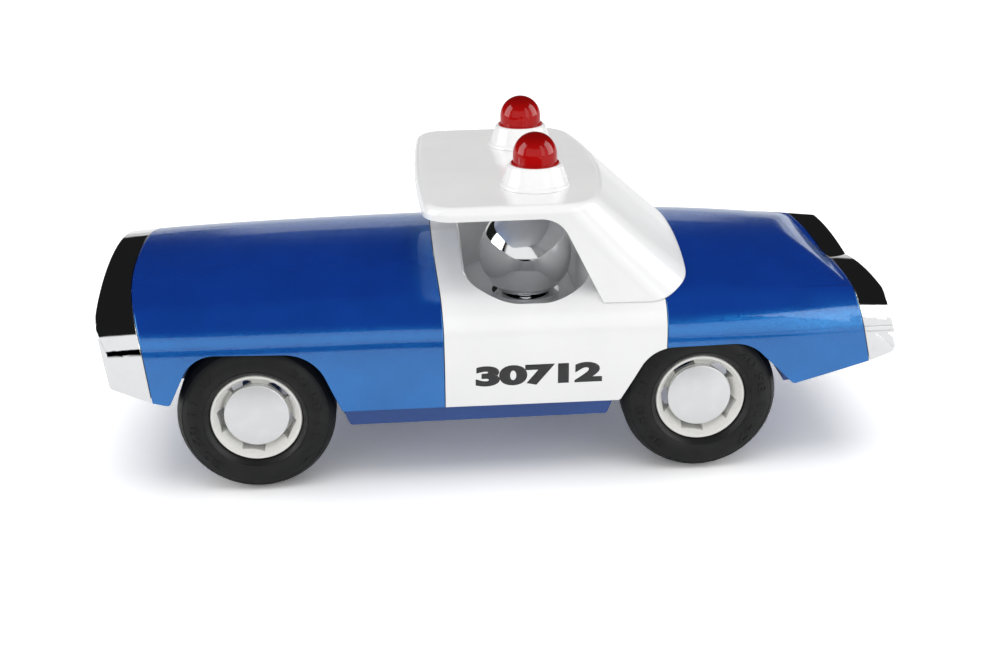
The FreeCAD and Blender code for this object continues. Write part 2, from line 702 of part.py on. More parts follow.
def make_tyre(x):
    """Left tyre on one axle."""
    return tyre_section(x).revolve(Vector(x, 0, TYRE_RADIUS), Vector(0, 1, 0), 360)


def make_rim(x):
    """Left rim with a conical dish and notches around the cap."""
    bore = AXLE_RADIUS + PRESS_CLEARANCE
    back = RIM_FLOOR_Y - RIM_WEB
    hub = RIM_INNER_Y + HUB_SETBACK
    barrel = RIM_SEAT_RADIUS - RIM_BARREL
    flange = RIM_LIP_Y - RIM_FLANGE
    points = (
        (bore, hub),
        (HUB_RADIUS, hub),
        (HUB_RADIUS, back),
        (barrel, back),
        (barrel, RIM_INNER_Y),
        (RIM_SEAT_RADIUS, RIM_INNER_Y),
        (RIM_SEAT_RADIUS, flange),
        (RIM_LIP_RADIUS, flange),
        (RIM_LIP_RADIUS - 0.5 * RIM_FLANGE, RIM_LIP_Y),
        (RIM_SEAT_RADIUS, RIM_LIP_Y),
        (RIM_LIP_RADIUS - RIM_DISH_TAPER, RIM_FLOOR_Y),
        (bore, RIM_FLOOR_Y),
        (bore, hub),
    )
    rim = turned_y(points, x, TYRE_RADIUS)
    half = 0.5 * NOTCH_WIDTH
    for i in range(NOTCH_COUNT):
        slot = box((x + CAP_RADIUS - NOTCH_UNDERCUT, back - 1.0, TYRE_RADIUS - half),
                   (x + CAP_RADIUS + NOTCH_DEPTH, RIM_LIP_Y + 1.0, TYRE_RADIUS + half))
        slot.rotate(Vector(x, 0, TYRE_RADIUS), Vector(0, 1, 0),
                    NOTCH_PHASE + 360.0 / NOTCH_COUNT * i)
        rim = rim.cut(slot)
    return rim


def make_cap(x):
    """Left hub cap: a stepped disc standing on the rim's floor."""
    foot_y = RIM_FLOOR_Y + SEAT_CLEARANCE
    face_y = RIM_LIP_Y - CAP_RECESS
    step_y = face_y - CAP_STEP
    bevel = CAP_BEVEL
    points = (
        (0.0, foot_y),
        (CAP_RADIUS, foot_y),
        (CAP_RADIUS, step_y - bevel),
        (CAP_RADIUS - bevel, step_y),
        (CAP_FACE_RADIUS + 0.5 * bevel, step_y),
        (CAP_FACE_RADIUS - bevel, face_y),
        (0.0, face_y),
        (0.0, foot_y),
    )
    return turned_y(points, x, TYRE_RADIUS)


def make_axle(x):
    """Steel axle pressed into both rims."""
    return disc_y(AXLE_RADIUS, -AXLE_HALF_LENGTH, AXLE_HALF_LENGTH, x, TYRE_RADIUS)


# ---------------------------------------------------------------- chassis
floor_edge = [row[:2] for row in NOSE_OUTLINE[2:]] + arch_feet()
floor_edge += [row[:2] for row in TAIL_OUTLINE[:2]]


def floor_z(x):
    """Height of the body's lower edge at x, arches bridged."""
    for (ahead_x, ahead_z), (behind_x, behind_z) in zip(floor_edge, floor_edge[1:]):
        if behind_x <= x <= ahead_x:
            share = (x - behind_x) / (ahead_x - behind_x)
            return behind_z + share * (ahead_z - behind_z)
    return floor_edge[0][1]


underside = [(x, z + FLOOR_RAISE, 0.0) for x, z in floor_edge]
topside = [(x, z + FLOOR_THICKNESS, 0.0) for x, z, _ in underside]
inside_skin = body_loft(SKIN + CHASSIS_GAP)
inside_ends = box((TAIL_X + TAIL_WALL + CHASSIS_END_GAP, -FAR, 0),
                  (NOSE_X - NOSE_WALL - CHASSIS_END_GAP, FAR, FAR))
above_floor = side_prism(underside + [(underside[-1][0], FAR, 0.0),
                                      (underside[0][0], FAR, 0.0)], FAR)
chassis = side_prism(underside + topside[::-1], FAR)
chassis = chassis.common(inside_skin).common(inside_ends)

tray_front_x = FRONT_AXLE_X - TYRE_RADIUS - TRAY_AXLE_GAP
tray_rear_x = REAR_AXLE_X + TYRE_RADIUS + TRAY_REAR_GAP
tray = side_prism(((tray_front_x + TRAY_SLOPE, TRAY_TOP_Z, 0.0),
                   (tray_front_x, TRAY_BOTTOM_Z, TRAY_EDGE_RADIUS),
                   (tray_rear_x, TRAY_BOTTOM_Z, TRAY_EDGE_RADIUS),
                   (tray_rear_x - TRAY_SLOPE, TRAY_TOP_Z, 0.0)), TRAY_HALF_WIDTH)
chassis = chassis.fuse(tray)
for x in (FRONT_AXLE_X, REAR_AXLE_X):
    drum = disc_y(WELL_RADIUS + WELL_WALL, WELL_INNER_Y - WELL_WALL, FAR, x, TYRE_RADIUS)
    drum = drum.common(inside_skin).common(above_floor)
    chassis = chassis.fuse(drum).fuse(mirrored(drum))
tub_space = rounded_block(TUB_REAR_X - TUB_WALL - CHASSIS_GAP,
                          TUB_FRONT_X + TUB_WALL + CHASSIS_GAP,
                          TUB_HALF_WIDTH + TUB_WALL + CHASSIS_GAP,
                          TUB_CORNER_RADIUS + TUB_WALL + CHASSIS_GAP,
                          TUB_FLOOR_Z - TUB_WALL - CHASSIS_GAP, FAR)
chassis = chassis.cut(tub_space)
well_profile = ((0.0, WELL_INNER_Y), (WELL_RADIUS, WELL_INNER_Y), (WELL_RADIUS, FAR),
                (0.0, FAR), (0.0, WELL_INNER_Y))
for space in wheel_spaces(well_profile):
    chassis = chassis.cut(space)
for x in (FRONT_AXLE_X, REAR_AXLE_X):
    seated_z = floor_z(x) + FLOOR_RAISE + 0.5 * FLOOR_THICKNESS
    top_z = max(TYRE_RADIUS + BEARING_ABOVE, seated_z)
    for side in (-1, 1):
        low_y = side * BEARING_Y - 0.5 * BEARING_WIDTH
        block = box((x - BEARING_HALF_LENGTH, low_y, TYRE_RADIUS - BEARING_BELOW),
                    (x + BEARING_HALF_LENGTH, low_y + BEARING_WIDTH, top_z))
        chassis = chassis.fuse(block)
    bore = disc_y(AXLE_RADIUS + RUNNING_CLEARANCE, -FAR, FAR, x, TYRE_RADIUS)
    chassis = chassis.cut(bore)
chassis = solid_of(chassis)

# ---------------------------------------------------------------- export
nodes = dict(bodies)
nodes["chassis"] = chassis
nodes["roof"] = roof
nodes["driver_head"] = head
nodes["driver_collar"] = collar
nodes["beacon_base_left"] = beacon_base
nodes["beacon_base_right"] = mirrored(beacon_base)
nodes["beacon_lens_left"] = lens
nodes["beacon_lens_right"] = mirrored(lens)
for label, x in (("front", FRONT_AXLE_X), ("rear", REAR_AXLE_X)):
    nodes[label + "_axle"] = make_axle(x)
    for kind, piece in (("tyre", make_tyre(x)), ("rim", make_rim(x)), ("cap", make_cap(x))):
        nodes[label + "_" + kind + "_left"] = piece
        nodes[label + "_" + kind + "_right"] = mirrored(piece)

for name, shape in nodes.items():
    shape.exportStep("parts/" + name + ".step")
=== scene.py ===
"""Looks of a push-along toy patrol car, built around its fixed construction model.

The construction model gives the shape and place of every moulded piece, with the nose towards +X, the left
side towards +Y and the floor at z = 0. This script gives each piece its finish, turns new tyres with
grooves and raised numbers, sets a polished disc on each hub cap, prints a plain fleet number on both doors,
drives the screws under the floor pan, and sets up a plain studio. All lengths are in metres.
"""

import enum
import logging
import math
from collections.abc import Iterable, Mapping
from dataclasses import dataclass, field
from typing import Any

import bmesh
import bpy
from mathutils import Matrix, Vector
from mathutils.bvhtree import BVHTree


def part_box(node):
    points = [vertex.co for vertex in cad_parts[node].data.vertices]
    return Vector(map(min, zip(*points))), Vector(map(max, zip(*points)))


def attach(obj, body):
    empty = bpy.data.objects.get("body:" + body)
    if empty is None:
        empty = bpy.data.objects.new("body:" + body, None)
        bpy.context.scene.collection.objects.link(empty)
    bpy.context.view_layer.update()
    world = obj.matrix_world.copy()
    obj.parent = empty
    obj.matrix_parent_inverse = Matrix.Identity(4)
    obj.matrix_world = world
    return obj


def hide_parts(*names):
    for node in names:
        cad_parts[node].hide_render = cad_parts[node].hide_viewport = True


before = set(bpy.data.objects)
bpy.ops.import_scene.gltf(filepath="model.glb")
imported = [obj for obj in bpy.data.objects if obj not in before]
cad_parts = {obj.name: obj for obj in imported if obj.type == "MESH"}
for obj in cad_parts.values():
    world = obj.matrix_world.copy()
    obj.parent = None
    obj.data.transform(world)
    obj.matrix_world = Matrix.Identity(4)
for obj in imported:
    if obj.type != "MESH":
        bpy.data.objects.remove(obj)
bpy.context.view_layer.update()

MM = 0.001

Colour = tuple[float, float, float]
Inputs = Mapping[int | str, Any]
Node = bpy.types.Node
Socket = bpy.types.NodeSocket
Material = bpy.types.Material
BMesh = bmesh.types.BMesh

log = logging.getLogger("patrol_car")


class Side(enum.Enum):
    """The two sides of the car, each with the sign of its y."""

    LEFT = 1
    RIGHT = -1

    @property
    def word(self) -> str:
        """The side's name as the nodes spell it."""
        return self.name.lower()


class Slot(enum.Enum):
    """Material slots of the construction record."""

    RUBBER = "tyre_rubber"
    CAP = "cap_metal"
    STEEL = "axle_steel"


# ---------------- shader nodes


class Wire:
    """A number socket of one node tree, on which arithmetic adds Math nodes."""

    def __init__(self, bench: "NodeBench", socket: Socket) -> None:
        """Keeps an output socket and the bench that adds its nodes."""
        self.bench = bench
        self.socket = socket

    def math(self, operation: str, *values: "float | Wire") -> "Wire":
        """The result of one Math node on this value and the given ones."""
        node = self.bench.add("ShaderNodeMath", {"operation": operation}, dict(enumerate((self, *values))))
        return Wire(self.bench, node.outputs[0])

    def __add__(self, other: "float | Wire") -> "Wire":
        """Sum."""
        return self.math("ADD", other)

    __radd__ = __add__

    def __sub__(self, other: "float | Wire") -> "Wire":
        """Difference."""
        return self.math("SUBTRACT", other)

    def __rsub__(self, other: float) -> "Wire":
        """Difference from a number."""
        return self.math("MULTIPLY_ADD", -1.0, other)

    def __mul__(self, other: "float | Wire") -> "Wire":
        """Product."""
        return self.math("MULTIPLY", other)

    __rmul__ = __mul__

    def __truediv__(self, other: "float | Wire") -> "Wire":
        """Quotient."""
        return self.math("DIVIDE", other)

    def __pow__(self, other: "float | Wire") -> "Wire":
        """Power."""
        return self.math("POWER", other)

    def least(self, other: "float | Wire") -> "Wire":
        """The smaller of two values."""
        return self.math("MINIMUM", other)

    def most(self, other: "float | Wire") -> "Wire":
        """The larger of two values."""
        return self.math("MAXIMUM", other)

    def rise(self, low: float, high: float) -> "Wire":
        """A smooth step.

        Args:
            low: where the step begins.
            high: where it ends.

        Returns:
            0 below low and 1 above high; with high under low the step falls instead.
        """
        start, end = (0.0, 1.0) if low < high else (1.0, 0.0)
        ends = {"From Min": min(low, high), "From Max": max(low, high), "To Min": start, "To Max": end}
        smooth = {"interpolation_type": "SMOOTHSTEP"}
        node = self.bench.add("ShaderNodeMapRange", smooth, {"Value": self, **ends})
        return Wire(self.bench, node.outputs["Result"])

    def span(self, low: float, high: float) -> "Wire":
        """A value of 0 to 1 spread linearly over low to high."""
        node = self.bench.add("ShaderNodeMapRange", {}, {"Value": self, "To Min": low, "To Max": high})
        return Wire(self.bench, node.outputs["Result"])


class NodeBench:
    """Adds the nodes of one node tree."""

    def __init__(self, tree: bpy.types.NodeTree) -> None:
        """Takes a node tree and empties it."""
        self.tree = tree
        self.tree.nodes.clear()

    def add(self, kind: str, settings: Mapping[str, Any] | None = None, inputs: Inputs | None = None) -> Node:
        """Adds one node, its settings first and then its sockets.

        Args:
            kind: the node's type.
            settings: its properties by name.
            inputs: values, wires or sockets by input name or number.

        Returns:
            The new node.
        """
        node = self.tree.nodes.new(kind)
        for name, value in (settings or {}).items():
            setattr(node, name, value)
        for key, value in (inputs or {}).items():
            if isinstance(value, Wire):
                value = value.socket
            if isinstance(value, Socket):
                self.tree.links.new(value, node.inputs[key])
            else:
                node.inputs[key].default_value = value
        return node

    def place(self) -> Socket:
        """The piece's own coordinates,."""
        return self.add("ShaderNodeTexCoord").outputs["Object"]

    def axes(self, vector: Socket) -> tuple[Wire, Wire, Wire]:
        """The three parts of a vector as wires."""
        parts = self.add("ShaderNodeSeparateXYZ", {}, {"Vector": vector}).outputs
        return Wire(self, parts["X"]), Wire(self, parts["Y"]), Wire(self, parts["Z"])

    def stretched(self, scale: Colour) -> Socket:
        """The piece's own coordinates, stretched for a drawn-out pattern."""
        return self.add("ShaderNodeMapping", {}, {"Vector": self.place(), "Scale": scale}).outputs["Vector"]

    def noise(self, size: float, detail: float = 2.0, vector: Socket | None = None) -> Wire:
        """Noise of about 0.3 to 0.7 with clouds of a size, on the piece's own coordinates or given ones."""
        inputs = {"Vector": vector or self.place(), "Scale": 1.0 / size, "Detail": detail, "Roughness": 0.55}
        return Wire(self, self.add("ShaderNodeTexNoise", {"noise_dimensions": "3D"}, inputs).outputs["Fac"])

    def mixed(self, factor: "float | Wire", first: Any, second: Any) -> Socket:
        """A mix of two colours or their sockets, with a factor of 0 for the first and 1 for the second."""
        inputs = {0: factor, 6: opaque(first), 7: opaque(second)}
        return self.add("ShaderNodeMix", {"data_type": "RGBA"}, inputs).outputs[2]

    def vector_math(self, operation: str, *values: Any) -> Socket:
        """Adds one Vector Math node and returns its vector."""
        node = self.add("ShaderNodeVectorMath", {"operation": operation}, dict(enumerate(values)))
        return node.outputs["Vector"]

    def blended(self, factor: Wire, first: Socket, second: Socket) -> Socket:
        """A direction between two directions, 0 for the first and 1 for the second."""
        node = self.add("ShaderNodeMix", {"data_type": "VECTOR"}, {0: factor, 4: first, 5: second})
        return self.vector_math("NORMALIZE", node.outputs[1])

    def eased_edges(self, radius: float) -> Socket:
        """A normal that rounds the piece's moulded edges by a small radius."""
        return self.add("ShaderNodeBevel", {"samples": 4}, {"Radius": radius}).outputs["Normal"]

    def bump(self, height: Wire, depth: float, normal: Socket | None = None) -> Socket:
        """Surface relief.

        Args:
            height: relief of 0 to 1.
            depth: depth of that relief.
            normal: the normal that it is added to, or the surface's own if None.

        Returns:
            The normal's socket.
        """
        below = {} if normal is None else {"Normal": normal}
        inputs = {"Height": height, "Distance": depth, "Strength": 1.0, **below}
        return self.add("ShaderNodeBump", {}, inputs).outputs["Normal"]

    def principled(self, inputs: Inputs) -> Socket:
        """A Principled shader with the given sockets."""
        return self.add("ShaderNodeBsdfPrincipled", {}, inputs).outputs["BSDF"]


def opaque(colour: Any) -> Any:
    """A colour with its alpha, or a socket unchanged."""
    return (*colour, 1.0) if isinstance(colour, tuple) and len(colour) == 3 else colour


def tinted(colour: Colour, share: float) -> Colour:
    """A colour made lighter or darker by a share of itself."""
    return tuple(min(1.0, part * share) for part in colour)


# ---------------- finishes


@dataclass(frozen=True)
class Finish:
    """A finish that can be put on any number of pieces.

    Attributes:
        name: the material's name.
        colour: its main colour.
        roughness: its middle roughness.
        edge: radius of its moulded edges.
    """

    name: str
    colour: Colour
    roughness: float
    edge: float = 0.35 * MM

    def shade(self, bench: NodeBench) -> Socket:
        """Adds the finish's nodes and returns its shader's socket."""
        raise NotImplementedError

    def build(self) -> Material:
        """Makes the material.

        Returns:
            A new material with this finish's nodes.
        """
        material = bpy.data.materials.new(self.name)
        material.use_nodes = True
        bench = NodeBench(material.node_tree)
        bench.add("ShaderNodeOutputMaterial", {}, {"Surface": self.shade(bench)})
        return material


@dataclass(frozen=True)
class FlakePaint(Finish):
    """Deep blue lacquer over fine metal flakes.

    Attributes:
        flake_colour: colour of light thrown back by the flakes.
        flake_share: how much of the light meets a flake.
        flake_size: size of a flake.
        flake_tilt: how far the flakes lie out of true.
        peel: depth of the lacquer's waves.
        waist: height where the sides are upright, at the tail and at the nose.
        waist_span: x of those two places.
        crown_radius: radius of the sides above the waist.
        side_radius: radius of the sides below it.
        side_top: heights between which the sides pass into the top.
        side_lean: sideways parts of a normal between which the top passes into the sides.
    """

    flake_colour: Colour = (0.028, 0.29, 0.55)
    flake_share: float = 0.5
    flake_size: float = 0.22 * MM
    flake_tilt: float = 0.2
    peel: float = 0.004 * MM
    waist: tuple[float, float] = (53.3 * MM, 55.8 * MM)
    waist_span: tuple[float, float] = (-65.0 * MM, 40.0 * MM)
    crown_radius: float = 16.0 * MM
    side_radius: float = 170.0 * MM
    side_top: tuple[float, float] = (71.0 * MM, 64.0 * MM)
    side_lean: tuple[float, float] = (0.6, 0.8)

    def crowned(self, bench: NodeBench, normal: Socket) -> Socket:
        """Turns the normals of the body's sides into one even crown.

        Args:
            bench: the material's nodes.
            normal: the normal that is turned.

        Returns:
            The turned normal's socket.
        """
        along, _, height = bench.axes(bench.place())
        out_x, out_y, _ = bench.axes(normal)
        start, end = self.waist_span
        lift = height - ((along - start) / (end - start)).span(*self.waist)
        slope = (lift / self.crown_radius).most(lift / self.side_radius).least(0.95)
        level = (out_x * out_x + out_y * out_y).most(0.01) ** 0.5
        flat = (1.0 - slope * slope) ** 0.5 / level
        even = bench.add("ShaderNodeCombineXYZ", {}, {"X": out_x * flat, "Y": out_y * flat, "Z": slope})
        sideways = out_y.math("ABSOLUTE").rise(*self.side_lean) * height.rise(*self.side_top)
        return bench.blended(sideways, normal, even.outputs["Vector"])

    def shade(self, bench: NodeBench) -> Socket:
        """Mixes glossy pigment with tilted flakes, both under the same skin."""
        even = self.crowned(bench, bench.eased_edges(self.edge))
        skin = bench.bump(bench.noise(3.0 * MM, 1.0), self.peel, even)
        grid = {"Vector": bench.place(), "Scale": 1.0 / self.flake_size}
        cells = bench.add("ShaderNodeTexVoronoi", {}, grid).outputs["Color"]
        lean = bench.vector_math("SUBTRACT", cells, (0.5, 0.5, 0.5))
        lean = bench.vector_math("MULTIPLY", lean, (self.flake_tilt,) * 3)
        flake_normal = bench.vector_math("NORMALIZE", bench.vector_math("ADD", skin, lean))
        cloud = bench.noise(18.0 * MM, 2.0).rise(0.35, 0.65)
        pigment = bench.principled({
            "Base Color": bench.mixed(cloud, tinted(self.colour, 0.96), tinted(self.colour, 1.04)),
            "Roughness": 0.02,
            "IOR": 1.9,
            "Normal": skin,
        })
        dim, bright = tinted(self.flake_colour, 0.94), tinted(self.flake_colour, 1.06)
        flakes = bench.principled({
            "Base Color": bench.mixed(cloud, dim, bright),
            "Metallic": 1.0,
            "Roughness": self.roughness,
            "Normal": flake_normal,
        })
        inputs = {0: self.flake_share, 1: pigment, 2: flakes}
        return bench.add("ShaderNodeMixShader", {}, inputs).outputs["Shader"]


@dataclass(frozen=True)
class GlossMoulding(Finish):
    """Hard moulding with a polished lacquer.

    Attributes:
        lacquer: weight of the clear lacquer.
        mottle: share by which the colour varies.
        peel: depth of the surface's waves.
    """

    lacquer: float = 0.3
    mottle: float = 0.012
    peel: float = 0.004 * MM

    def shade(self, bench: NodeBench) -> Socket:
        """Shades a faintly mottled moulding whose gloss varies a little."""
        cloud = bench.noise(22.0 * MM, 3.0).rise(0.3, 0.7)
        skin = bench.bump(bench.noise(4.0 * MM, 1.0), self.peel, bench.eased_edges(self.edge))
        dark, light = tinted(self.colour, 1.0 - self.mottle), tinted(self.colour, 1.0 + self.mottle)
        return bench.principled({
            "Base Color": bench.mixed(cloud, dark, light),
            "Roughness": bench.noise(9.0 * MM, 2.0).span(0.8 * self.roughness, 1.2 * self.roughness),
            "Normal": skin,
            "Coat Weight": self.lacquer,
            "Coat Roughness": 0.03,
            "Coat IOR": 1.5,
        })


@dataclass(frozen=True)
class ChromePlating(Finish):
    """Bright plating on a moulded piece.

    Attributes:
        smudge: roughness added where it was handled.
        wave: depth of the plating's waves.
    """

    smudge: float = 0.05
    wave: float = 0.006 * MM

    def shade(self, bench: NodeBench) -> Socket:
        """Shades plating with faint handling marks and waves."""
        marks = bench.noise(7.0 * MM, 4.0).rise(0.52, 0.72)
        skin = bench.bump(bench.noise(9.0 * MM, 1.0), self.wave, bench.eased_edges(self.edge))
        return bench.principled({
            "Base Color": bench.mixed(marks, self.colour, tinted(self.colour, 0.96)),
            "Metallic": 1.0,
            "Roughness": self.roughness + self.smudge * marks,
            "Normal": skin,
        })


@dataclass(frozen=True)
class LampLens(Finish):
    """Glossy coloured lens moulding, with painted shade that darkens its colour towards its crown.

    Attributes:
        deep: painted shade, the darker colour at the crown.
        crown: height of the crown.
        shoulder: height where the painted shade of the crown begins.
    """

    deep: Colour = (0.19, 0.002, 0.002)
    crown: float = 0.1278
    shoulder: float = 0.1215

    def shade(self, bench: NodeBench) -> Socket:
        """Shades a lens whose colour darkens towards its crown by painted shade."""
        height = bench.axes(bench.place())[2]
        # Painted shade: the lens's colour darkens from the shoulder up to the crown.
        depth = height.rise(self.shoulder, self.crown)
        streaks = bench.noise(2.5 * MM, 2.0).span(-0.06, 0.06)
        return bench.principled({
            "Base Color": bench.mixed((depth + streaks).most(0.0), self.colour, self.deep),
            "Roughness": bench.noise(3.0 * MM, 2.0).span(0.7 * self.roughness, 1.3 * self.roughness),
            "Normal": bench.bump(bench.noise(5.0 * MM, 1.0), 0.004 * MM, bench.eased_edges(self.edge)),
            "Specular IOR Level": 0.0,
            "Coat Weight": 1.0,
            "Coat Roughness": 0.01,
            "Coat IOR": 1.33,
        })


@dataclass(frozen=True)
class WheelFinish(Finish):
    """A finish with marks that run round the wheels' axles.

    Attributes:
        axles: x of each axle.
        axle_z: height of the axles.
        metal: how metallic it is.
        ring: pitch of its turning marks.
        cut: depth of those marks.
        grain: size of its grain.
        grain_depth: depth of its grain.
        worn: share by which worn patches are lighter.
        shine: strength of the mirrored light, 0.5 for plain plastic.
    """

    axles: tuple[float, ...] = ()
    axle_z: float = 0.0
    metal: float = 0.0
    ring: float = 0.35 * MM
    cut: float = 0.004 * MM
    grain: float = 0.5 * MM
    grain_depth: float = 0.01 * MM
    worn: float = 0.1
    shine: float = 0.5

    def from_axle(self, bench: NodeBench) -> Wire:
        """Distance from the nearest axle."""
        x, _, z = bench.axes(bench.place())
        rise = (z - self.axle_z) ** 2.0
        spans = [(x - axle) ** 2.0 + rise for axle in self.axles]
        nearest = spans[0]
        for span in spans[1:]:
            nearest = nearest.least(span)
        return nearest ** 0.5

    def shade(self, bench: NodeBench) -> Socket:
        """Shades rings round the axle over a fine grain."""
        radius = self.from_axle(bench)
        rings = (radius * (2.0 * math.pi / self.ring)).math("SINE")
        grain = bench.noise(self.grain, 2.0)
        relief = rings.span(0.0, 1.0) * (self.cut / (self.cut + self.grain_depth))
        relief = relief + grain * (self.grain_depth / (self.cut + self.grain_depth))
        patches = bench.noise(6.0 * MM, 3.0).rise(0.42, 0.7)
        return bench.principled({
            "Base Color": bench.mixed(patches, self.colour, tinted(self.colour, 1.0 + self.worn)),
            "Metallic": self.metal,
            "Roughness": patches.span(self.roughness, 0.85 * self.roughness),
            "Specular IOR Level": self.shine,
            "Normal": bench.bump(relief, self.cut + self.grain_depth, bench.eased_edges(self.edge)),
        })


@dataclass(frozen=True)
class GrainedMoulding(Finish):
    """Plain moulding with a fine tool grain.

    Attributes:
        grain: size of the grain.
        depth: depth of the grain.
    """

    grain: float = 0.6 * MM
    depth: float = 0.02 * MM

    def shade(self, bench: NodeBench) -> Socket:
        """Shades a grained moulding with faint flow marks."""
        flow = bench.noise(14.0 * MM, 3.0, bench.stretched((0.4, 1.0, 1.0))).rise(0.35, 0.7)
        return bench.principled({
            "Base Color": bench.mixed(flow, tinted(self.colour, 0.92), tinted(self.colour, 1.08)),
            "Roughness": bench.noise(self.grain, 3.0).span(0.85 * self.roughness, 1.15 * self.roughness),
            "Normal": bench.bump(bench.noise(self.grain, 3.0), self.depth, bench.eased_edges(self.edge)),
        })


@dataclass(frozen=True)
class PrintInk(Finish):
    """Printed ink with a faint screen grain.

    Attributes:
        grain: size of the grain.
    """

    grain: float = 0.3 * MM

    def shade(self, bench: NodeBench) -> Socket:
        """Shades ink that thins a little here and there."""
        thin = bench.noise(2.0 * MM, 4.0).rise(0.55, 0.8)
        return bench.principled({
            "Base Color": bench.mixed(thin, self.colour, tinted(self.colour, 1.8)),
            "Roughness": bench.noise(self.grain, 2.0).span(0.85 * self.roughness, 1.15 * self.roughness),
            "Normal": bench.bump(bench.noise(self.grain, 1.0), 0.003 * MM),
            "Coat Weight": 0.4,
            "Coat Roughness": 0.08,
        })


# ---------------- mesh helpers


def piece_from(bm: BMesh, name: str, body: str, material: Material) -> bpy.types.Object:
    """Turns a finished mesh into a piece at the origin that rides on a body.

    Args:
        bm: the mesh, and in place; it is freed.
        name: the piece's name.
        body: the body that it moves with.
        material: its finish.

    Returns:
        The piece.
    """
    mesh = bpy.data.meshes.new(name)
    bm.to_mesh(mesh)
    bm.free()
    mesh.materials.append(material)
    piece = bpy.data.objects.new(name, mesh)
    bpy.context.scene.collection.objects.link(piece)
    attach(piece, body)
    log.info("%s: %d faces, rides on %s", name, len(mesh.polygons), body)
    return piece


def join(bm: BMesh, part: BMesh) -> None:
    """Adds one mesh to another.

    Args:
        bm: the mesh that grows.
        part: the mesh that is added; it is freed.
    """
    mesh = bpy.data.meshes.new("part")
    part.to_mesh(mesh)
    part.free()
    bm.from_mesh(mesh)
    bpy.data.meshes.remove(mesh)


def face_outwards(bm: BMesh) -> None:
    """Recalculates the normals outwards, which still leaves some of the numerals facing inwards."""
    bmesh.ops.recalc_face_normals(bm, faces=bm.faces[:])


def move(bm: BMesh, way: Iterable[float]) -> None:
    """Moves a whole mesh."""
    bmesh.ops.translate(bm, vec=way, verts=bm.verts[:])


def turn(bm: BMesh, angle: float, axis: str) -> None:
    """Turns a whole mesh about one of the axes, by an angle in radians."""
    about = Matrix.Rotation(angle, 3, axis)
    bmesh.ops.rotate(bm, verts=bm.verts[:], cent=(0.0, 0.0, 0.0), matrix=about)


def shade_by_angle(bm: BMesh, degrees: float) -> None:
    """Smooths all faces, and keeps edges sharper than an angle crisp.

    Args:
        bm: the mesh.
        degrees: the angle in degrees.
    """
    for face in bm.faces:
        face.smooth = True
    limit = math.radians(degrees)
    for edge in bm.edges:
        edge.smooth = len(edge.link_faces) == 2 and edge.calc_face_angle(0.0) < limit


def flat_number(text: str, width: float, height: float, weight: float) -> BMesh:
    """Makes block numerals as one flat mesh that fills a rectangle.

    Args:
        text: the numerals.
        width: width of the whole number.
        height: height of the numerals.
        weight: how much the strokes are thickened, as a share of the height.

    Returns:
        A mesh in the XY plane, centred on the origin and facing +Z.
    """
    curve = bpy.data.curves.new("numerals", "FONT")
    curve.body = text
    curve.size = 1.0
    curve.offset = weight
    curve.resolution_u = 6
    curve.fill_mode = "FRONT"
    source = bpy.data.objects.new("numerals", curve)
    mesh = bpy.data.meshes.new_from_object(source)
    bm = bmesh.new()
    bm.from_mesh(mesh)
    bpy.data.objects.remove(source)
    bpy.data.curves.remove(curve)
    bpy.data.meshes.remove(mesh)
    bmesh.ops.remove_doubles(bm, verts=bm.verts[:], dist=1e-5)
    low, high = (Vector(map(pick, zip(*(vert.co for vert in bm.verts)))) for pick in (min, max))
    size = high - low
    move(bm, -(low + high) / 2.0)
    bmesh.ops.scale(bm, vec=(width / size.x, height / size.y, 1.0), verts=bm.verts[:])
    return bm


def sliced(bm: BMesh, step: float, normal: Vector, reach: float) -> None:
    """Cuts a mesh into strips, so that it can follow a curved surface.

    Args:
        bm: the mesh.
        step: width of a strip.
        normal: direction across the strips.
        reach: how far the cuts go on each side of the origin.
    """
    count = math.ceil(reach / step)
    for i in range(-count, count + 1):
        geometry = bm.verts[:] + bm.edges[:] + bm.faces[:]
        bmesh.ops.bisect_plane(bm, geom=geometry, dist=1e-7, plane_co=normal * (i * step), plane_no=normal)


def thickened(bm: BMesh, thickness: float) -> None:
    """Gives a flat mesh that faces +Z a thickness, from z = 0 up.

    Args:
        bm: the mesh.
        thickness: its thickness.
    """
    face_outwards(bm)
    if sum(face.normal.z for face in bm.faces) < 0.0:
        bmesh.ops.reverse_faces(bm, faces=bm.faces[:])
    made = bmesh.ops.extrude_face_region(bm, geom=bm.faces[:])
    lifted = [item for item in made["geom"] if isinstance(item, bmesh.types.BMVert)]
    bmesh.ops.translate(bm, vec=(0.0, 0.0, thickness), verts=lifted)
    face_outwards(bm)


def surface_of(node: str) -> BVHTree:
    """A search tree of a node's surface at rest."""
    bm = bmesh.new()
    bm.from_mesh(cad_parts[node].data)
    tree = BVHTree.FromBMesh(bm)
    bm.free()
    return tree


def dress(nodes: Iterable[str], material: Material) -> None:
    """Puts one finish on several nodes of the construction model.

    Args:
        nodes: the nodes' names.
        material: the finish.
    """
    for name in nodes:
        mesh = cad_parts[name].data
        mesh.materials.clear()
        mesh.materials.append(material)
        log.info("%s: finished in %s", name, material.name)


# ---------------- sub-assemblies


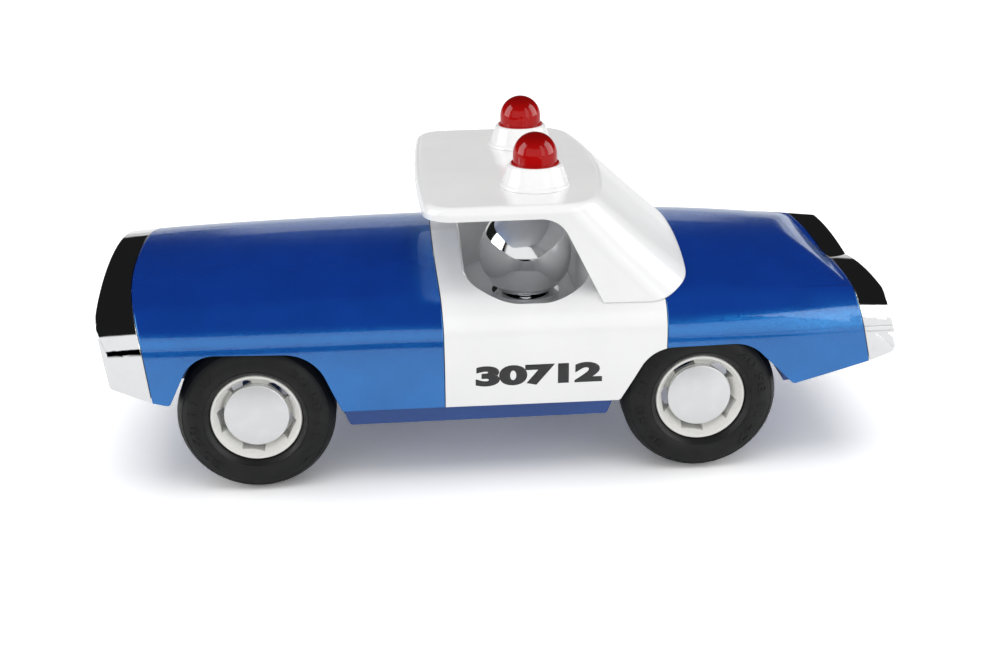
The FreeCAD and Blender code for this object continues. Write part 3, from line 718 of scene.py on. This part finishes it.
@dataclass
class Tyre:
    """One rubber tyre: grooved tread, ringed walls and raised numbers on its outer wall.

    Attributes:
        axle_x: x of its axle.
        radius: radius of the tread.
        middle_y: distance of the tread's middle from the car's middle.
        half_width: half of its widest width.
        half_tread: half of the flat tread.
        shoulder: height of the rounded shoulder.
        bore: radius of the bore.
        bead_half: half of the width at the bead.
        bead_radius: radius at the top of the bead.
        steps: segments round the axle.
        groove_depth: depth of the tread's grooves.
        groove_half: half of the width of a groove.
        groove_sides: places of the grooves across the tread.
        ring_radii: radii of the raised rings on the walls.
        ring_height: how far the rings stand proud.
        ring_half: half of the width of a ring.
        number: the raised numbers.
        number_radius: radius of the numbers' middle.
        number_height: height of the numbers.
        number_arc: angle that a run of numbers covers, in degrees.
        number_rise: how far the numbers stand proud.
        number_turns: angles of the runs' middles round the axle, in degrees.
        number_weight: extra thickness of the strokes as a share of the height.
    """

    axle_x: float
    radius: float
    middle_y: float
    half_width: float
    half_tread: float = 4.0 * MM
    shoulder: float = 8.0 * MM
    bore: float = 16.02 * MM
    bead_half: float = 7.88 * MM
    bead_radius: float = 17.3 * MM
    steps: int = 144
    groove_depth: float = 0.55 * MM
    groove_half: float = 0.35 * MM
    groove_sides: tuple[float, ...] = (-3.0 * MM, 0.0, 3.0 * MM)
    ring_radii: tuple[float, ...] = (19.0 * MM, 27.3 * MM)
    ring_height: float = 0.22 * MM
    ring_half: float = 0.3 * MM
    number: str = "30 58 11 47"
    number_radius: float = 23.4 * MM
    number_height: float = 3.3 * MM
    number_arc: float = 104.0
    number_rise: float = 0.26 * MM
    number_turns: tuple[float, ...] = (90.0, -90.0)
    number_weight: float = 0.02

    def wall(self, radius: float) -> float:
        """Distance of the plain wall from the tread's middle at a radius."""
        hip = self.radius - self.shoulder
        if radius >= hip:
            share = min(1.0, (radius - hip) / self.shoulder)
            return self.half_tread + (self.half_width - self.half_tread) * math.sqrt(1.0 - share * share)
        share = min(1.0, max(0.0, (hip - radius) / (hip - self.bead_radius)))
        return self.bead_half + (self.half_width - self.bead_half) * math.sqrt(max(0.0, 1.0 - share * share))

    def groove(self, side: float) -> list[tuple[float, float]]:
        """Points of a groove from its outer lip to its inner one."""
        low, narrow = self.radius - self.groove_depth, 0.6 * self.groove_half
        outer, inner = (side + self.groove_half, self.radius), (side - self.groove_half, self.radius)
        return [outer, (side + narrow, low), (side - narrow, low), inner]

    def half_section(self) -> list[tuple[float, float]]:
        """Points of the section from the bore over one wall to the middle of the tread.

        Returns:
            Pairs of distance from the tread's middle and radius.
        """
        hip = self.radius - self.shoulder
        points = [(0.0, self.bore), (self.bead_half, self.bore)]
        quarter = 0.5 * math.pi
        low_steps, high_steps = 7, 16
        radii = [hip - (hip - self.bead_radius) * math.cos(quarter * i / low_steps) for i in range(low_steps)]
        radii += [hip + self.shoulder * math.sin(quarter * i / high_steps) for i in range(high_steps)]
        shares = (-1.0, -0.55, 0.55, 1.0)
        marks = [ring + self.ring_half * share for ring in self.ring_radii for share in shares]
        plain = [r for r in radii if all(abs(r - ring) > 1.2 * self.ring_half for ring in self.ring_radii)]
        for r in sorted(plain + marks):
            raised = any(abs(r - ring) < 0.8 * self.ring_half for ring in self.ring_radii)
            points.append((self.wall(r) + (self.ring_height if raised else 0.0), r))
        for side in sorted((s for s in self.groove_sides if s > 0.0), reverse=True):
            points += self.groove(side)
        if 0.0 in self.groove_sides:
            points += self.groove(0.0)[:2]
        return points

    def turned(self) -> BMesh:
        """Turns the whole section round the axle, about the origin.

        Returns:
            A closed ring whose axle is the y axis, with its outer wall towards +Y.
        """
        half = self.half_section()
        loop = half + [(-side, r) for side, r in reversed(half) if side > 0.0]
        bm = bmesh.new()
        verts = [bm.verts.new((0.0, side, r)) for side, r in loop]
        edges = [bm.edges.new((verts[i - 1], verts[i])) for i in range(len(verts))]
        bmesh.ops.spin(
            bm, geom=verts + edges, cent=(0.0, 0.0, 0.0), axis=(0.0, 1.0, 0.0),
            angle=2.0 * math.pi, steps=self.steps, use_merge=True,
        )
        bmesh.ops.remove_doubles(bm, verts=bm.verts[:], dist=1e-7)
        face_outwards(bm)
        return bm

    def raised_number(self, middle: float) -> BMesh:
        """Makes one run of numbers, bent round the outer wall.

        Args:
            middle: angle of the run's middle round the axle in degrees.

        Returns:
            A mesh whose foot lies just inside the wall. It has stray faces, and its 4s share edges.
        """
        width = math.radians(self.number_arc) * self.number_radius
        bm = flat_number(self.number, width, self.number_height, self.number_weight)
        sliced(bm, 1.0 * MM, Vector((1.0, 0.0, 0.0)), 0.5 * width)
        thickened(bm, 2.0 * self.number_rise)
        for vert in bm.verts:
            angle = math.radians(middle) + vert.co.x / self.number_radius
            radius = self.number_radius + vert.co.y
            side = self.wall(radius) + vert.co.z - self.number_rise
            vert.co = Vector((-radius * math.sin(angle), side, radius * math.cos(angle)))
        face_outwards(bm)
        return bm

    def build(self, axle: str, side: Side, body: str, rubber: Material) -> None:
        """Makes the tyre in its place, where it stands for the plain one of the construction model.

        Args:
            axle: "front" or "rear".
            side: the side of the car.
            body: the body that it rides on.
            rubber: its finish.
        """
        bm = self.turned()
        for middle in self.number_turns:
            join(bm, self.raised_number(middle))
        if side is Side.RIGHT:
            turn(bm, math.pi, "Z")
        move(bm, Vector((self.axle_x, side.value * self.middle_y, self.radius)))
        shade_by_angle(bm, 32.0)
        piece = piece_from(bm, f"{axle}_treaded_tyre_{side.word}", body, rubber)
        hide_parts(f"{axle}_tyre_{side.word}")


@dataclass
class HubDisc:
    """The polished disc on a wheel's cap, whose lip stands over the rim's windows.

    Attributes:
        radius: its outer radius.
        thickness: its thickness.
        sunk: how deep it sits in the cap.
        round_over: radius of its edge.
        steps: number of its sides.
    """

    radius: float = 12.1 * MM
    thickness: float = 1.1 * MM
    sunk: float = 0.3 * MM
    round_over: float = 0.4 * MM
    steps: int = 96

    def build(self, axle: str, side: Side, body: str, metal: Material) -> None:
        """Makes the disc on its cap.

        Args:
            axle: "front" or "rear".
            side: the side of the car.
            body: the body that it rides on.
            metal: its finish.
        """
        low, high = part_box(f"{axle}_cap_{side.word}")
        outer = high.y if side is Side.LEFT else low.y
        bm = bmesh.new()
        ends = {"radius1": self.radius, "radius2": self.radius}
        bmesh.ops.create_cone(bm, cap_ends=True, segments=self.steps, depth=self.thickness, **ends)
        rims = [e for e in bm.edges if abs(e.verts[0].co.z - e.verts[1].co.z) < 1e-6]
        bmesh.ops.bevel(
            bm, geom=rims, offset=self.round_over, segments=3, affect="EDGES", profile=0.5, material=-1
        )
        turn(bm, 0.5 * math.pi, "X")
        middle = (low + high) / 2.0
        middle.y = outer + side.value * (0.5 * self.thickness - self.sunk)
        move(bm, middle)
        face_outwards(bm)
        shade_by_angle(bm, 40.0)
        piece = piece_from(bm, f"{axle}_hub_disc_{side.word}", body, metal)


@dataclass
class Wheelsets:
    """Both axles with their wheels.

    Attributes:
        axles: each axle's word and the body that it rides on.
    """

    axles: tuple[tuple[str, str], ...] = (("front", "front_wheelset"), ("rear", "rear_wheelset"))

    @staticmethod
    def middle(node: str) -> Vector:
        """The middle of a node's box."""
        low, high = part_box(node)
        return (low + high) / 2.0

    def build(self) -> None:
        """Makes the tyres and finishes the rims, caps and axles."""
        places = tuple(self.middle(f"{axle}_tyre_left").x for axle, _ in self.axles)
        axle_z = self.middle("front_tyre_left").z
        around = {"axles": places, "axle_z": axle_z}
        rubber = WheelFinish(
            "black_tyre_rubber", (0.007, 0.0072, 0.007), 0.5, 0.1 * MM, ring=0.6 * MM, cut=0.006 * MM,
            grain=0.35 * MM, grain_depth=0.012 * MM, worn=0.35, shine=0.3, **around,
        ).build()
        rim = WheelFinish(
            "cream_rim_moulding", (0.80, 0.795, 0.76), 0.30, 0.22 * MM, ring=0.5 * MM, cut=0.001 * MM,
            grain=1.2 * MM, grain_depth=0.004 * MM, worn=0.02, **around,
        ).build()
        cap = WheelFinish(
            "satin_cap_metal", (0.84, 0.845, 0.855), 0.34, 0.18 * MM, metal=0.85, ring=0.18 * MM,
            cut=0.002 * MM, grain=0.5 * MM, grain_depth=0.002 * MM, worn=0.03, **around,
        ).build()
        steel = WheelFinish(
            "turned_axle_steel", (0.55, 0.55, 0.56), 0.28, 0.1 * MM, metal=1.0, ring=0.3 * MM,
            cut=0.002 * MM, grain=0.8 * MM, grain_depth=0.003 * MM, worn=0.1, **around,
        ).build()
        for (axle, body), x in zip(self.axles, places):
            dress([f"{axle}_axle"], steel)
            for side in Side:
                low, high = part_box(f"{axle}_tyre_{side.word}")
                size = high - low
                tyre = Tyre(x, size.z / 2.0, abs(low.y + high.y) / 2.0, size.y / 2.0)
                tyre.build(axle, side, body, rubber)
                dress([f"{axle}_rim_{side.word}"], rim)
                dress([f"{axle}_cap_{side.word}"], cap)
                HubDisc().build(axle, side, body, cap)


@dataclass
class DoorNumber:
    """The fleet number printed on a door.

    Attributes:
        number: plain numerals.
        middle_x: x of its middle.
        middle_z: height of its middle.
        width: its width.
        height: height of its numerals.
        weight: extra thickness of the strokes as a share of the height.
        film: thickness of the ink.
    """

    number: str = "30712"
    middle_x: float = -12.6 * MM
    middle_z: float = 43.6 * MM
    width: float = 47.0 * MM
    height: float = 8.6 * MM
    weight: float = 0.06
    film: float = 0.05 * MM

    def build(self, side: Side, ink: Material) -> None:
        """Prints the number on one door, as a closed film that is just proud of it.

        Args:
            side: the side of the car.
            ink: its finish.
        """
        door = surface_of("door_body")
        bm = flat_number(self.number, self.width, self.height, self.weight)
        sliced(bm, 2.0 * MM, Vector((1.0, 0.0, 0.0)), 0.5 * self.width)
        sliced(bm, 1.5 * MM, Vector((0.0, 1.0, 0.0)), 0.5 * self.height)
        bmesh.ops.triangulate(bm, faces=bm.faces[:])
        thickened(bm, self.film)
        outward = side.value
        for vert in bm.verts:
            x, z = self.middle_x - outward * vert.co.x, self.middle_z + vert.co.y
            hit = door.ray_cast(Vector((x, outward * 0.2, z)), Vector((0.0, -outward, 0.0)))[0]
            vert.co = Vector((x, hit.y + outward * (vert.co.z + 0.2 * self.film), z))
        face_outwards(bm)
        piece_from(bm, f"door_number_{side.word}", "car", ink)


@dataclass
class Bodywork:
    """The moulded body, its plated ends, the roof, the driver and the beacons.

    Attributes:
        lens_nodes: the beacons' lenses.
        lens_shade_height: height over which painted shade darkens a lens towards its crown.
        numbers: the number on each door.
    """

    lens_nodes: tuple[str, ...] = ("beacon_lens_left", "beacon_lens_right")
    lens_shade_height: float = 6.5 * MM
    numbers: DoorNumber = field(default_factory=DoorNumber)

    def build(self) -> None:
        """Finishes the body's nodes and prints the door numbers."""
        blue = FlakePaint("blue_flake_lacquer", (0.0075, 0.058, 0.48), 0.22, 0.6 * MM).build()
        white = GlossMoulding("white_gloss_lacquer", (0.86, 0.86, 0.86), 0.24).build()
        chrome = ChromePlating("bright_chrome_plating", (0.87, 0.875, 0.885), 0.035).build()
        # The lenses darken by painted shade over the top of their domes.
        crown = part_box(self.lens_nodes[0])[1].z
        heights = {"crown": crown, "shoulder": crown - self.lens_shade_height}
        red = LampLens("red_lens_moulding", (0.39, 0.004, 0.004), 0.12, **heights).build()
        dress(["bonnet_body", "tail_body"], blue)
        dress(["door_body", "roof", "beacon_base_left", "beacon_base_right"], white)
        dress(["nose_trim", "tail_trim", "driver_head", "driver_collar"], chrome)
        dress(self.lens_nodes, red)
        ink = PrintInk("black_door_ink", (0.011, 0.011, 0.012), 0.4).build()
        for side in Side:
            self.numbers.build(side, ink)


@dataclass
class FloorPan:
    """The floor pan under the car, with the screws that hold it.

    Attributes:
        screw_places: x and y of each screw.
        head_radius: radius of a screw's head.
        head_height: height of the head.
        recess_half: half of the width of the cross recess.
        recess_reach: length of each of its arms.
        recess_depth: its depth.
        sunk: how deep a head sits in the pan.
    """

    screw_places: tuple[tuple[float, float], ...] = (
        *((x, y) for x in (44.0 * MM, -28.0 * MM) for y in (34.0 * MM, -34.0 * MM)),
        (128.0 * MM, 0.0),
        (-122.0 * MM, 0.0),
    )
    head_radius: float = 2.7 * MM
    head_height: float = 1.1 * MM
    recess_half: float = 0.35 * MM
    recess_reach: float = 1.35 * MM
    recess_depth: float = 0.7 * MM
    sunk: float = 0.1 * MM

    def screw(self) -> BMesh:
        """Makes one pan-head screw facing down, with its seat at z = 0.

        Returns:
            A closed head with a cross recess.
        """
        bm = bmesh.new()
        ends = {"radius1": self.head_radius, "radius2": self.head_radius}
        bmesh.ops.create_cone(bm, cap_ends=True, segments=40, depth=self.head_height, **ends)
        move(bm, (0.0, 0.0, -0.5 * self.head_height))
        rim = [e for e in bm.edges if all(v.co.z < -0.9 * self.head_height for v in e.verts)]
        bmesh.ops.bevel(
            bm, geom=rim, offset=0.6 * self.head_height, offset_type="OFFSET", affect="EDGES", segments=5,
            profile=0.5, material=-1,
        )
        for axis in (Vector((1.0, 0.0, 0.0)), Vector((0.0, 1.0, 0.0))):
            for place in (-self.recess_reach, -self.recess_half, self.recess_half, self.recess_reach):
                low = [f for f in bm.faces if self.in_end(f)]
                geometry = list({v for f in low for v in f.verts} | {e for f in low for e in f.edges}) + low
                bmesh.ops.bisect_plane(bm, geom=geometry, dist=1e-7, plane_co=axis * place, plane_no=axis)
        cross = [f for f in bm.faces if self.in_cross(f)]
        made = bmesh.ops.extrude_face_region(bm, geom=cross)
        bmesh.ops.delete(bm, geom=cross, context="FACES")
        sunk = [item for item in made["geom"] if isinstance(item, bmesh.types.BMVert)]
        bmesh.ops.translate(bm, vec=(0.0, 0.0, self.recess_depth), verts=sunk)
        face_outwards(bm)
        return bm

    def in_end(self, face: bmesh.types.BMFace) -> bool:
        """Whether a face of the head lies in its flat end."""
        return face.normal.z < -0.999 and face.calc_center_median().z < -0.99 * self.head_height

    def in_cross(self, face: bmesh.types.BMFace) -> bool:
        """Whether a face of the head lies in the cross recess."""
        x, y = (abs(part) for part in face.calc_center_median().xy)
        return self.in_end(face) and min(x, y) < self.recess_half and max(x, y) < self.recess_reach

    def build(self) -> None:
        """Finishes the pan and drives its screws."""
        moulding = GrainedMoulding("dark_blue_pan_moulding", (0.022, 0.068, 0.25), 0.38, 0.4 * MM).build()
        grains = {"grain": 0.3 * MM, "depth": 0.004 * MM}
        steel = GrainedMoulding("zinc_screw_steel", (0.42, 0.42, 0.43), 0.35, 0.05 * MM, **grains).build()
        dress(["chassis"], moulding)
        pan = surface_of("chassis")
        screws = bmesh.new()
        for x, y in self.screw_places:
            seat = pan.ray_cast(Vector((x, y, -0.01)), Vector((0.0, 0.0, 1.0)))[0]
            head = self.screw()
            move(head, (x, y, seat.z + self.sunk))
            join(screws, head)
        shade_by_angle(screws, 35.0)
        piece = piece_from(screws, "pan_screws", "car", steel)


# ---------------- studio


@dataclass
class Panel:
    """A soft lamp that lights the car but isn't mirrored in it.

    Attributes:
        name: its name.
        place: its place.
        size: its sides.
        power: its power in watts.
    """

    name: str
    place: Vector
    size: tuple[float, float]
    power: float

    def build(self, target: Vector) -> None:
        """Hangs the lamp and aims it.

        Args:
            target: the point that it faces.
        """
        lamp = bpy.data.lights.new(self.name, "AREA")
        lamp.shape = "RECTANGLE"
        lamp.size, lamp.size_y = self.size
        lamp.energy = self.power
        holder = bpy.data.objects.new(self.name, lamp)
        holder.location = self.place
        holder.rotation_euler = (target - self.place).to_track_quat("-Z", "Y").to_euler()
        holder.visible_glossy = False
        bpy.context.scene.collection.objects.link(holder)


@dataclass
class Studio:
    """A pale floor, white banks round a dark ceiling, soft lamps and the camera.

    Attributes:
        floor_half: half of the floor's side.
        floor_tone: grey of the floor as it lights the car.
        floor_shown: grey of the floor as it is seen straight.
        floor_mirrored: grey of the floor's white sheet as it is mirrored.
        sheet_front: y between which the mirrored white sheet ends in front of the car.
        sheet_tail: x between which it goes on behind the tail.
        glow: brightness overhead and all round, low down, as it lights the car.
        glow_edge: heights in degrees between which the one passes into the other.
        ceiling: brightness of the dark room between the mirrored banks.
        aim: the point that all lamps face.
        eye: the camera's place.
        heading: the direction in which it looks.
        roll: its roll in degrees.
        lens: its focal length in millimetres.
    """

    floor_half: float = 4.0
    floor_tone: float = 0.82
    floor_shown: float = 1.32
    floor_mirrored: float = 0.86
    sheet_front: tuple[float, float] = (0.29, 0.23)
    sheet_tail: tuple[float, float] = (-0.2, -0.27)
    glow: tuple[float, float] = (0.55, 1.0)
    glow_edge: tuple[float, float] = (32.0, 22.0)
    ceiling: float = 0.012
    aim: Vector = field(default_factory=lambda: Vector((0.0, 0.0, 0.05)))
    eye: Vector = field(default_factory=lambda: Vector((0.0357, 0.5475, 0.2565)))
    heading: Vector = field(default_factory=lambda: Vector((-0.0649, -0.9275, -0.3683)))
    roll: float = -0.97
    lens: float = 52.0

    def floor(self) -> None:
        """Lays the floor, which shows white and keeps the shadow."""
        material = bpy.data.materials.new("pale_floor")
        material.use_nodes = True
        bench = NodeBench(material.node_tree)
        path = bench.add("ShaderNodeLightPath").outputs
        straight = Wire(bench, path["Is Camera Ray"]).most(Wire(bench, path["Is Transmission Ray"]))
        mirrored = Wire(bench, path["Is Glossy Ray"])
        along, across, _ = bench.axes(bench.place())
        sheet = across.rise(*self.sheet_front).most(along.rise(*self.sheet_tail)) * self.floor_mirrored
        tone = straight * self.floor_shown + mirrored * sheet + (1.0 - straight - mirrored) * self.floor_tone
        grey = bench.add("ShaderNodeCombineColor", {}, dict.fromkeys(("Red", "Green", "Blue"), tone))
        shader = bench.add("ShaderNodeBsdfDiffuse", {}, {"Color": grey.outputs["Color"]}).outputs["BSDF"]
        bench.add("ShaderNodeOutputMaterial", {}, {"Surface": shader})
        bm = bmesh.new()
        bmesh.ops.create_grid(bm, x_segments=8, y_segments=8, size=self.floor_half)
        mesh = bpy.data.meshes.new("studio_floor")
        bm.to_mesh(mesh)
        bm.free()
        mesh.materials.append(material)
        floor = bpy.data.objects.new("studio_floor", mesh)
        bpy.context.scene.collection.objects.link(floor)

    def banks(self, bench: NodeBench) -> Wire:
        """Brightness of the room as the finishes mirror it.

        Args:
            bench: the world's nodes.

        Returns:
            White banks low down all round, brighter at nose and tail, under a dark ceiling.
        """
        along, across, up = bench.axes(bench.add("ShaderNodeTexCoord").outputs["Generated"])
        # Turns in degrees, from 0 at the car's left over 90 at its nose to 180 at its right; -90 is its tail.
        turned = along.math("ARCTAN2", across) * (180.0 / math.pi)
        wide = turned.math("ABSOLUTE")

        def height(low: float, high: float) -> Wire:
            """A smooth step between two heights in degrees."""
            return up.rise(sine(low), sine(high))

        # A broad bank on the left, which goes on below the horizon towards the tail.
        below = height(-1.0, 1.0).most(turned.rise(-23.0, -29.0))
        left = 0.9 * (turned.rise(62.0, 52.0) * turned.rise(-76.0, -70.0) * height(39.0, 35.0) * below)
        # A bright card at the tail's left corner, and bright banks at the nose and at the tail.
        corner = 2.4 * (turned.rise(-27.0, -31.0) * turned.rise(-50.0, -46.0) * height(52.0, 47.0))
        ends = 5.5 * (wide.rise(66.0, 72.0) * wide.rise(112.0, 104.0) * height(50.0, 44.0))
        # A strip on the right, and a thin line at the horizon round all of that side.
        right = 0.55 * ((turned.rise(171.0, 174.0) + turned.rise(-163.0, -167.0)) * height(14.5, 12.5))
        line = 0.6 * (wide.rise(110.0, 120.0) * height(4.0, 1.5) * height(-6.0, -4.0))
        return left.most(corner).most(ends).most(right).most(line) + self.ceiling

    def world(self) -> None:
        """Surrounds the car: white where seen, banks where mirrored and plain light elsewhere."""
        world = bpy.data.worlds.new("studio_world")
        world.use_nodes = True
        world.cycles.sampling_method = "NONE"
        bpy.context.scene.world = world
        bench = NodeBench(world.node_tree)
        path = bench.add("ShaderNodeLightPath").outputs
        glossy = Wire(bench, path["Is Glossy Ray"])
        straight = Wire(bench, path["Is Camera Ray"]).most(Wire(bench, path["Is Transmission Ray"]))
        up = bench.axes(bench.add("ShaderNodeTexCoord").outputs["Generated"])[2]
        plain = straight + (1.0 - straight) * up.rise(*map(sine, self.glow_edge)).span(*self.glow)
        strength = glossy * self.banks(bench) + (1.0 - glossy) * plain
        back = bench.add("ShaderNodeBackground", {}, {"Color": (1.0, 1.0, 1.0, 1.0), "Strength": strength})
        bench.add("ShaderNodeOutputWorld", {}, {"Surface": back.outputs["Background"]})

    def camera(self) -> None:
        """Sets up the camera."""
        data = bpy.data.cameras.new("studio_camera")
        data.lens = self.lens
        data.sensor_width = 36.0
        data.clip_start, data.clip_end = 0.01, 20.0
        back = -self.heading.normalized()
        level = Vector((0.0, 0.0, 1.0)).cross(back).normalized()
        upright = back.cross(level)
        angle = math.radians(self.roll)
        right = math.cos(angle) * level + math.sin(angle) * upright
        top = back.cross(right)
        camera = bpy.data.objects.new("studio_camera", data)
        camera.matrix_world = Matrix.Translation(self.eye) @ Matrix((right, top, back)).transposed().to_4x4()
        bpy.context.scene.collection.objects.link(camera)
        bpy.context.scene.camera = camera

    def build(self) -> None:
        """Sets up the whole studio."""
        self.floor()
        self.world()
        Panel("top_panel", Vector((0.0, 0.2, 1.8)), (1.6, 1.6), 14.5).build(self.aim)
        for side in Side:
            for end, along in (("nose", 1.1), ("tail", -1.1)):
                place = Vector((along, 1.1 * side.value, 0.28))
                Panel(f"{end}_panel_{side.word}", place, (0.9, 0.4), 3.2).build(self.aim)
        self.camera()
        bpy.context.scene.view_settings.view_transform = "Standard"


def sine(degrees: float) -> float:
    """Sine of an angle in degrees."""
    return math.sin(math.radians(degrees))


def main() -> None:
    """Builds the car's sub-assemblies in order, then the studio."""
    logging.basicConfig(level=logging.INFO, format="%(name)s: %(message)s")
    Wheelsets().build()
    Bodywork().build()
    FloorPan().build()
    Studio().build()


if __name__ == "__main__":
    main()
